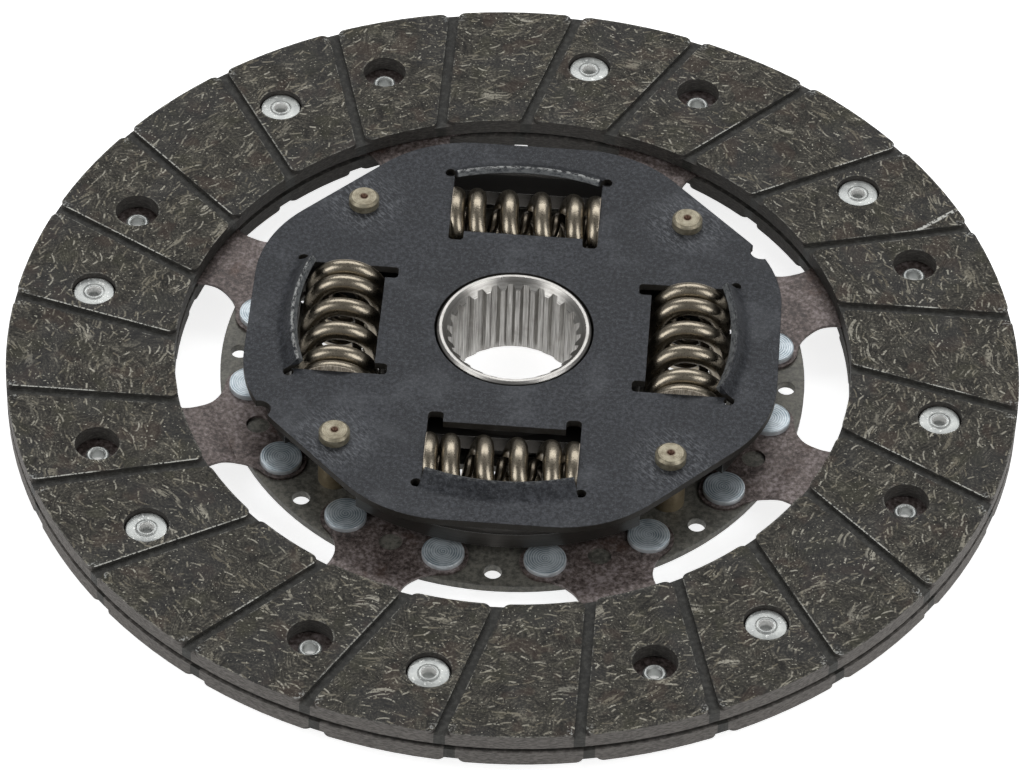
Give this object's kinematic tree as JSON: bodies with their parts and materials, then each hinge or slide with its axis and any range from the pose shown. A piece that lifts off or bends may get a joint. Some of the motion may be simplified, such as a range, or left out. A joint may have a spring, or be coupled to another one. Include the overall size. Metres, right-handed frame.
{
  "type": "clutch disc",
  "caption": "Dry clutch disc: grooved friction rings on waved spring-steel segments, coil springs in lipped windows, splined hub that twists against them.",
  "frame": {"origin": "on the hub's axis, in the plane of the flywheel side friction face", "axes": "+Z along the hub's axis towards the gearbox side, +X and +Y through the centres of two neighbouring spring windows"},
  "size_m": [0.228, 0.228, 0.0249],
  "materials": {
    "facing": "dark brown-grey friction material with short pale fibres, ground flat",
    "facing_rivet": "bright drawn steel",
    "segment": "heat-tinted brown and purple-grey spring steel",
    "segment_rivet": "bluish zinc with turned rings on the heads",
    "carrier": "dark oiled steel",
    "cover": "blue-grey nitrided steel, satin",
    "damper_spring": "shot-peened spring wire, bronze-grey satin",
    "inner_spring": "spring wire, satin",
    "pin": "bronze-brown tinted steel",
    "hub": "machined forging, bright at the turned faces",
    "washer": "black moulded friction washer",
    "cup_spring": "spring steel, satin",
    "bush": "dark moulded bearing plastic"
  },
  "bodies": {
    "friction_disc": {"facing_gearbox_side": "facing", "facing_flywheel_side": "facing", "facing_rivets_gearbox_side": "facing_rivet", "facing_rivets_flywheel_side": "facing_rivet", "cushion_segment_1": "segment", "cushion_segment_2": "segment", "cushion_segment_3": "segment", "cushion_segment_4": "segment", "cushion_segment_5": "segment", "cushion_segment_6": "segment", "cushion_segment_7": "segment", "cushion_segment_8": "segment", "segment_rivets": "segment_rivet", "carrier_plate": "carrier", "cover_plate": "cover", "damper_spring_1": "damper_spring", "damper_spring_2": "damper_spring", "damper_spring_3": "damper_spring", "damper_spring_4": "damper_spring", "inner_spring_1": "inner_spring", "inner_spring_2": "inner_spring", "inner_spring_3": "inner_spring", "inner_spring_4": "inner_spring", "stop_pin_1": "pin", "stop_pin_2": "pin", "stop_pin_3": "pin", "stop_pin_4": "pin", "friction_washer_gearbox_side": "washer", "friction_washer_flywheel_side": "washer", "cup_spring": "cup_spring", "centring_bush": "bush"},
    "hub": {"hub_flange": "hub"}
  },
  "joints": [
    {"name": "damper_twist", "type": "hinge", "parent": "friction_disc", "child": "hub", "pos_m": [0, 0, 0.0083], "axis": [0, 0, 1], "range_deg": [-8, 8], "stiffness_Nm_per_rad": 20, "deforming": ["damper_spring_1", "damper_spring_2", "damper_spring_3", "damper_spring_4", "inner_spring_1", "inner_spring_2", "inner_spring_3", "inner_spring_4"]}
  ]
}
